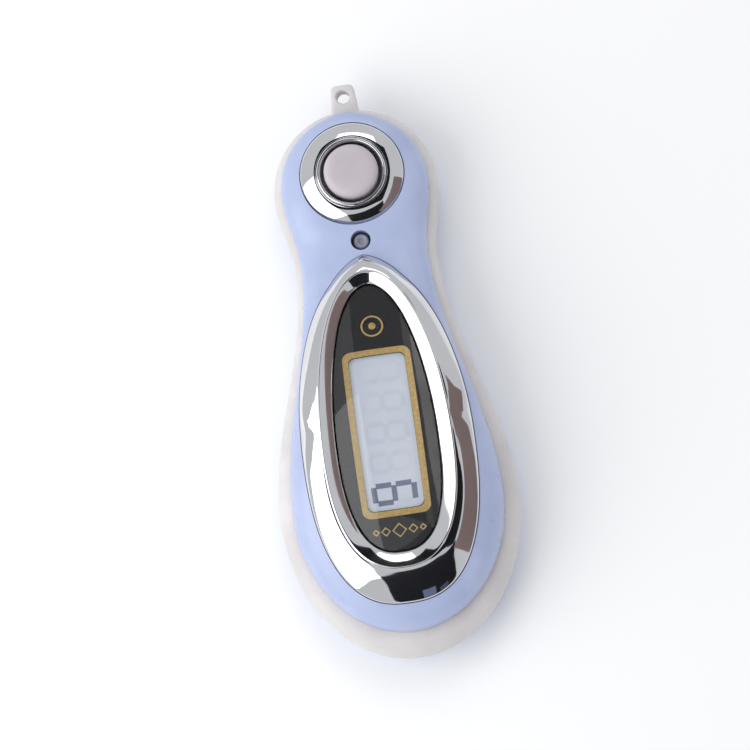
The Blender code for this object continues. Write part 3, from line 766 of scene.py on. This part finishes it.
bosses = door_block(BAY_WALL, 0.2, 6.8)
for at in CASE_SCREWS:
    rod(bosses, WELL_BOSS, 0.2, 4.5, at)
carve(rear, bosses, "UNION")
carve(rear, door_block(-BAY_LEDGE, 1.0, 8.0))
RECESS_WIDTH, RECESS_LENGTH = (length + 2 * DOOR_GAP for length in DOOR_SIZE)
recess = loft([rounded_ring(RECESS_WIDTH, RECESS_LENGTH, 1.3, DOOR_Y, z) for z in (-1, 1.4)])
for at in CASE_SCREWS:
    rod(recess, WELL_RADIUS, -1, 2.6, at)
carve(rear, recess)
holes = bmesh.new()
for at in CASE_SCREWS:
    rod(holes, CASE_PILOT, 2.0, 6.0, at)
carve(rear, holes)
wall_y = DOOR_Y + DOOR_SIZE[1] / 2 + 0.4
half_turn = [math.pi * i / 32 for i in range(33)]
pillar = [[Vector((PILLAR_RADIUS * math.cos(a), DOOR_SCREW_AT[1] - PILLAR_RADIUS * math.sin(a), z))
           for a in half_turn] + [Vector((-PILLAR_RADIUS, wall_y, z)), Vector((PILLAR_RADIUS, wall_y, z))]
          for z in (2.5, 6.4)]
carve(rear, loft(pillar), "UNION")
carve(rear, rod(bmesh.new(), DOOR_PILOT, 1.5, 5.5, DOOR_SCREW_AT))
finished(rear, "case", "blue_gloss_abs", blue_abs, "rear_shell", sharp=40)

# %% Battery door
rows = flowing([rounded_ring(DOOR_SIZE[0] - 2 * inset, DOOR_SIZE[1] - 2 * inset, 1.0 - inset, DOOR_Y, z)
                for inset, z in ((0.25, 0.0), (0.07, 0.07), (0.0, 0.25), (0.0, 1.1))], 2)
door = as_object("battery_door_skin", loft(rows))
DOOR_BOSS, DOOR_WELL = 2.6, 2.0
GROOVES = 4
GROOVE_PITCH = 1.3
GROOVE_HALF = 4.0
FIRST_GROOVE = 3.6
GROOVE_DEPTH = 0.3
carve(door, rod(bmesh.new(), DOOR_BOSS, 0.3, 2.2, DOOR_SCREW_AT), "UNION")
carve(door, rod(bmesh.new(), DOOR_WELL, -1, 1.2, DOOR_SCREW_AT))
carve(door, rod(bmesh.new(), DOOR_PILOT, 1.0, 3.0, DOOR_SCREW_AT))
grooves = bmesh.new()
for i in range(GROOVES):
    y = DOOR_Y - FIRST_GROOVE - GROOVE_PITCH * i
    block(grooves, (-GROOVE_HALF, y - 0.3, -0.5), (GROOVE_HALF, y + 0.3, GROOVE_DEPTH), 0.1)
carve(door, grooves)
arrow = bmesh.new()
bmesh.ops.create_cone(arrow, cap_ends=True, segments=3, radius1=1.3, radius2=1.3, depth=0.8)
bmesh.ops.translate(arrow, vec=(0, DOOR_Y - 1.3, -0.1), verts=arrow.verts)
carve(door, arrow)
finished(door, "battery_door", "blue_gloss_abs", blue_abs, "battery_door")

# %% [markdown]
# ## Screws and button cell
#
# The four screws on the back are plain cross-recess screws, turned with a domed head and a
# straight shank. The cross is one plus-shaped recess that narrows with depth, so a single
# cut makes it. The cell is a deep-drawn can with a crimped edge round its cap.

# %% Screws with a cross recess
def plus(reach, half, z, at):
    """The outline of a plus sign."""
    corners = ((reach, half), (half, half), (half, reach), (-half, reach), (-half, half),
               (-reach, half), (-reach, -half), (-half, -half), (-half, -reach), (half, -reach),
               (half, -half), (reach, -half))
    return [Vector((at[0] + x, at[1] + y, z)) for x, y in corners]


def screw(name, body, node, head_low, head_high, head_radius, shank, at):
    """A pan-head screw that enters from the back, with a cross cut in its head."""
    low, high = span(node)
    profile = [(0, head_low), (head_radius - 0.5, head_low + 0.03), (head_radius - 0.15, head_low + 0.25),
               (head_radius, head_low + 0.5), (head_radius, head_high), (head_radius, head_high),
               (shank, head_high), (shank, head_high), (shank, high[2] - 0.8), (shank, high[2] - 0.8),
               (0, high[2])]
    made = as_object(name, turned(flowing_profile(profile, 3), 48, at=at))
    carve(made, loft([plus(1.0, 0.24, head_low - 0.4, at), plus(0.7, 0.2, head_low + 0.55, at)]))
    return finished(made, body, "zinc_plated_steel", zinc, node)


for number, at in enumerate(CASE_SCREWS, start=1):
    node = f"case_screw_{number}"
    head = span(node)[0][2]
    screw(f"{node}_skin", "case", node, head, head + 1.2, 1.75, 0.85, at)
screw("battery_door_screw_skin", "door_screw", "battery_door_screw", screw_low[2], screw_low[2] + 0.75,
      1.65, 0.8, DOOR_SCREW_AT)

# %% Button cell
cell_low, cell_high = span("button_cell")
CELL_AT = (0.0, (cell_low[1] + cell_high[1]) / 2)
low, high = cell_low[2], cell_high[2]
can = [(0, low), (5.2, low), (5.6, low + 0.08), (5.8, low + 0.35), (5.8, low + 0.35), (5.8, high - 0.9),
       (5.7, high - 0.62), (5.3, high - 0.5), (4.95, high - 0.45), (4.85, high - 0.2), (4.6, high - 0.02),
       (4.3, high), (0, high)]
cell = as_object("button_cell_skin", turned(flowing_profile(can, 3), 96, at=CELL_AT))
finished(cell, "cell", "stainless_cell_can", drawn_can, "button_cell")

# %% [markdown]
# ## Display bezel
#
# The chrome bezel rises from the shell as a smooth convex flank, turns over a thin crest,
# and falls inwards to the lens. Reflections on plating show every kink, so its rings follow
# smooth curves with real corners only at the crest and the foot.

# %% Bezel
RIM_Z = 18.0
LENS_BOTTOM = 15.9
INSERT_Z = 15.3
BEZEL_LIP = 0.12
SEAT_GAP = 0.3
POCKET = Egg(9.6, 27.2, 19.3)
ROOM = Egg(11.0, 27.2, 20.4)
foot_edge = egg_ring(grown(BEZEL, BEZEL_LIP), lambda x, y: front_z(x, y) + 0.2, TIP_LENGTH)
rim_base = sloped(RIM, RIM_Z - 0.5)


def flank_row(share, swell):
    """A row part of the way up the flank, swelled outwards above the straight line."""
    return [a.lerp(b, share) + Vector((0, 0, swell)) for a, b in zip(foot_edge, rim_base)]


seat = egg_ring(grown(BEZEL, BEZEL_LIP), SEAT_Z + SEAT_GAP, TIP_LENGTH)
flank = [seat, seat, foot_edge, foot_edge, flank_row(0.06, 0.16), flank_row(0.3, 0.34),
         flank_row(0.6, 0.36), flank_row(0.88, 0.14), rim_base, rim_base,
         sloped(grown(RIM, -0.06), RIM_Z - 0.16), sloped(grown(RIM, -0.22), RIM_Z - 0.02),
         sloped(grown(RIM, -0.42), RIM_Z - 0.05), sloped(Egg(9.1, 26.6, 18.3), RIM_Z - 0.42),
         sloped(Egg(8.35, 25.85, 17.5), RIM_Z - 0.78), sloped(LENS_OPENING, RIM_Z - 1.0)]
inside = [egg_ring(LENS_OPENING, LENS_BOTTOM), egg_ring(POCKET, LENS_BOTTOM),
          egg_ring(POCKET, INSERT_Z - 0.1), egg_ring(ROOM, INSERT_Z - 0.5),
          egg_ring(ROOM, SEAT_Z + SEAT_GAP)]
bezel = as_object("display_bezel_skin", loft(flowing(flank, 4) + inside, wrap=True))
finished(bezel, "case", "chrome_plated_abs", chrome, "display_bezel", sharp=45)

# %% [markdown]
# ## Lens and printed insert
#
# The lens is a thick dome of clear acrylic, so it is a closed solid that really refracts. A
# thin shell would show the print without the shift and the curved glints of the real one.

# %% Lens
LENS_EDGE = 16.9
LENS_TOP = 19.0
LENS_ROWS = 24
rows = [egg_ring(LENS, LENS_BOTTOM)]
for i in range(LENS_ROWS + 1):
    share = math.cos(math.pi / 2 * i / LENS_ROWS)
    egg = Egg(LENS.half * share, LENS.up * share, LENS.down * share)
    rows.append(sloped(egg, LENS_EDGE + (LENS_TOP - LENS_EDGE) * (1 - share ** 2)))
window = as_object("display_lens_skin", loft(rows, caps=(True, False)))
finished(window, "case", "clear_acrylic", acrylic, "display_lens", sharp=60)

# %% Gold frame round the digit window
PRINT_Z = 15.6
PRINT_THICK = 0.04
PRINT_TOP = PRINT_Z + PRINT_THICK
GOLD_OUTSIDE = (10.4, 26.3, 1.3)
GOLD_INSIDE = (8.5, 24.4, 0.9)
window_frame = loft([rounded_ring(*GOLD_OUTSIDE, LCD_Y, PRINT_Z),
                     rounded_ring(*GOLD_OUTSIDE, LCD_Y, PRINT_TOP),
                     rounded_ring(*GOLD_INSIDE, LCD_Y, PRINT_TOP),
                     rounded_ring(*GOLD_INSIDE, LCD_Y, PRINT_Z)], wrap=True)
gold_frame = as_object("gold_window_frame", window_frame)
finished(gold_frame, "case", "black_printed_film", gold_ink)

# %% [markdown]
# ## Printed ornaments
#
# Two small ornaments in thin gold lines fill the ends of the print. They are plain motifs: a
# dot in a ring above the window, and a row of five lozenges below it. Each starts as a filled
# shape that is inset, and the middle is deleted, which leaves an even line.

# %% Thin gold line work
def outline(bm, shape, line):
    """Keep only an even line along the edge of a filled shape, and give it a thickness."""
    bmesh.ops.inset_region(bm, faces=[shape], thickness=line, use_even_offset=True, use_boundary=True)
    bmesh.ops.delete(bm, geom=[shape], context="FACES_ONLY")


def disc(bm, radius, at, segments=48):
    """Add a filled shape with equal sides, round with many of them and a lozenge with four."""
    verts = bmesh.ops.create_circle(bm, cap_ends=True, segments=segments, radius=radius)["verts"]
    bmesh.ops.translate(bm, vec=(at[0], at[1], PRINT_Z + 0.01), verts=verts)
    return verts[0].link_faces[0]


def thicken(bm):
    """Extrude every face up by the thickness of the ink."""
    made = bmesh.ops.extrude_face_region(bm, geom=bm.faces[:])["geom"]
    verts = [part for part in made if isinstance(part, bmesh.types.BMVert)]
    bmesh.ops.translate(bm, vec=(0, 0, PRINT_THICK), verts=verts)


RING_AT = (0, 5.2)
RING_RADIUS, RING_LINE, DOT_RADIUS = 1.7, 0.26, 0.55
upper = bmesh.new()
outline(upper, disc(upper, RING_RADIUS, RING_AT), RING_LINE)
disc(upper, DOT_RADIUS, RING_AT)
thicken(upper)
finished(as_object("gold_dot_in_ring", upper), "case", "black_printed_film", gold_ink)

LOZENGE_Y = LCD_Y - 15.4
LOZENGE_LINE = 0.16
LOZENGES = ((-3.6, 0.55), (-2.1, 0.75), (0, 1.15), (2.1, 0.75), (3.6, 0.55))
lower = bmesh.new()
for x, radius in LOZENGES:
    outline(lower, disc(lower, radius, (x, LOZENGE_Y), segments=4), LOZENGE_LINE)
thicken(lower)
finished(as_object("gold_lozenge_row", lower), "case", "black_printed_film", gold_ink)

# %% [markdown]
# ## Digits
#
# The liquid crystal shows five seven-segment digits that run down the window, with their
# tops to the right. Only the last place is lit, with a 6. The other segments are still
# there as faint shapes, as on any such display seen at a slant.

# %% Display face and segments
face_low, face_high = span("lcd_front_glass")
SHEET_TOP = 0.12
FACE_TOP = face_high[2] + SHEET_TOP
SHEET_GAP = 0.02
sheet = block(bmesh.new(), (face_low[0], face_low[1], face_high[2] + SHEET_GAP),
              (face_high[0], face_high[1], FACE_TOP))
finished(as_object("display_polariser", sheet), "case", "display_glass", polariser)

DIGIT_HIGH = 6.7
DIGIT_WIDE = 3.5
PITCH = 4.75
PLACES = 5
BAR_HALF = 0.4
BAR_GAP = 0.3
SEGMENTS = {"a": (0, 1), "b": (0.5, 0.5), "c": (0.5, -0.5), "d": (0, -1), "e": (-0.5, -0.5),
            "f": (-0.5, 0.5), "g": (0, 0)}


def segment(bm, letter, centre_y, thick):
    """One bar with pointed ends, laid with the digit's top towards +X."""
    across, high = SEGMENTS[letter]
    level = letter in "adg"
    length = (DIGIT_WIDE if level else DIGIT_HIGH / 2) - BAR_GAP
    verts = bmesh.ops.create_circle(bm, cap_ends=True, segments=6, radius=1.0)["verts"]
    for vert in verts:
        tip = abs(vert.co.y) < 0.1
        reach = length / 2 if tip else length / 2 - BAR_HALF
        vert.co.x = math.copysign(reach, vert.co.x)
        vert.co.y = 0.0 if tip else math.copysign(BAR_HALF, vert.co.y)
    if level:
        bmesh.ops.rotate(bm, cent=(0, 0, 0), matrix=Matrix.Rotation(math.pi / 2, 3, "Z"), verts=verts)
    place = (high * (DIGIT_HIGH - 2 * BAR_HALF) / 2,
             centre_y - across * (DIGIT_WIDE - 2 * BAR_HALF), FACE_TOP + 0.01)
    bmesh.ops.translate(bm, vec=place, verts=verts)
    made = bmesh.ops.extrude_face_region(bm, geom=[verts[0].link_faces[0]])["geom"]
    moved = [part for part in made if isinstance(part, bmesh.types.BMVert)]
    bmesh.ops.translate(bm, vec=(0, 0, thick), verts=moved)


lit = bmesh.new()
unlit = bmesh.new()
last_y = LCD_Y - 2 * PITCH
for place in range(PLACES):
    for letter in SEGMENTS:
        on = place == 0 and letter != "b"
        segment(lit if on else unlit, letter, last_y + PITCH * place, 0.03 if on else 0.01)
finished(as_object("lit_digit_segments", lit), "case", "display_glass", liquid_crystal)
# The unlit segments carry the same painted glow as the polariser sheet: an emission standing in for light
# the lens keeps out.
faint = finish("unlit_liquid_crystal", "#E0E6F2", "#ECF1F9", (0.3, 0.4), 0.3, 0.001, IOR=1.5,
               Specular_IOR_Level=0.2, **PAINTED_SCREEN_GLOW)
finished(as_object("unlit_digit_segments", unlit), "case", "display_glass", faint)

# %% [markdown]
# ## Buttons
#
# The big cap and its chrome ring are turned shapes. A spin of a smooth profile gives them,
# and a point given twice in the profile keeps a corner sharp. The reset button is a small pin
# with a shallow dimple for a fingertip.

# %% Chrome ring
seat_z = ring_low[2]
profile = [(8.27, seat_z), (8.27, seat_z), (8.27, 13.3), (8.15, 13.6), (7.6, 14.0), (6.9, 14.36),
           (6.2, 14.62), (5.78, 14.72), (5.78, 14.72), (5.66, 14.62), (5.6, 14.7), (5.6, 14.7),
           (5.52, 15.0), (5.34, 15.18), (5.14, 15.16), (4.95, 14.98), (4.85, 14.6), (4.85, 14.6),
           (4.85, seat_z)]
ring = as_object("button_ring_skin", turned(flowing_profile(profile, 4), 160, True, COUNT_AT))
finished(ring, "case", "chrome_plated_abs", chrome, "button_ring", sharp=45)

# %% Count button
cap_top = span("count_button")[1][2]
profile = [(0, cap_top), (1.8, cap_top - 0.03), (2.9, cap_top - 0.1), (3.7, cap_top - 0.3),
           (4.14, cap_top - 0.68), (4.32, cap_top - 1.3), (4.35, 14.2), (4.35, 14.2), (4.35, 11.2),
           (4.35, 11.2), (5.6, 11.2), (5.6, 11.2), (5.6, 10.4), (5.6, 10.4), (3.6, 10.4), (3.6, 10.4),
           (3.6, 13.6), (2.8, 14.5), (1.5, 14.9), (1.5, 14.9), (1.5, 12.2), (1.5, 12.2), (0, 12.2)]
cap = as_object("count_button_skin", turned(flowing_profile(profile, 4), 128, at=COUNT_AT))
finished(cap, "count_button", "milky_cap_plastic", milky_cap, "count_button", sharp=45)

# %% Reset button
pin_top = pin_high[2]
profile = [(0, pin_top - 0.6), (0.3, pin_top - 0.45), (0.62, pin_top - 0.08), (0.85, pin_top),
           (1.03, pin_top - 0.04), (1.16, pin_top - 0.22), (1.2, pin_top - 0.5), (1.2, 11.2), (1.2, 11.2),
           (2.1, 11.2), (2.1, 11.2), (2.1, 10.6), (2.1, 10.6), (0, 10.6)]
pin = as_object("reset_button_skin", turned(flowing_profile(profile, 4), 64, at=RESET_AT))
finished(pin, "reset_button", "milky_cap_plastic", smoky_pin, "reset_button", sharp=45)

# %% [markdown]
# ## Rubber domes
#
# Under each button is a hollow silicone dome that collapses when the button is pressed. It
# can't just ride on the button, because its rim stays glued to the board.

# %% Turned silicone domes under the buttons
BOARD_TOP = span("count_rubber_dome")[0][2]


def dome(name, profile, at):
    """A turned silicone dome, tied to the case and given a mesh of its own."""
    rows = flowing_profile(profile, 3)
    made = as_object(f"{name}_skin", turned(rows, 64, at=at))
    finished(made, "case", "silicone_rubber", silicone, name, sharp=50)
    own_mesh(made)


dome("count_rubber_dome", [(0, 11.9), (1.5, 11.9), (1.75, 11.6), (2.6, 9.9), (3.2, 9.5),
                           (3.2, BOARD_TOP), (3.2, BOARD_TOP), (2.7, BOARD_TOP), (2.7, BOARD_TOP),
                           (2.2, 9.6), (1.35, 11.1), (0, 11.1)], COUNT_AT)
dome("reset_rubber_dome", [(0, 10.3), (0.8, 10.3), (1.5, 9.4), (1.9, 9.2), (1.9, BOARD_TOP),
                           (1.9, BOARD_TOP), (1.4, BOARD_TOP), (1.4, BOARD_TOP), (1.05, 9.3),
                           (0.6, 10.0), (0, 10.0)], RESET_AT)

# %% [markdown]
# ## Inside parts
#
# The parts inside are hardly seen, so the CAD shapes stay and only get their real finish.

# %% Finish the parts that stay as they are
INSIDE = {
    "printed_insert": film, "lcd_front_glass": glass, "lcd_rear_glass": glass, "lcd_reflector": foil,
    "lcd_holder": white_abs, "zebra_strip_1": zebra, "zebra_strip_2": zebra,
    "circuit_board": laminate, "chip_blob": epoxy, "capacitor": ceramic_tan,
    "resistor_1": ceramic_black, "resistor_2": ceramic_black,
    "count_contact_pill": carbon, "reset_contact_pill": carbon,
    "battery_contact_negative": nickel, "battery_contact_positive": nickel,
    "board_screw_1": zinc, "board_screw_2": zinc,
}
for node, material in INSIDE.items():
    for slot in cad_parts[node].material_slots:
        slot.material = material
print("inside parts finished:", len(INSIDE))
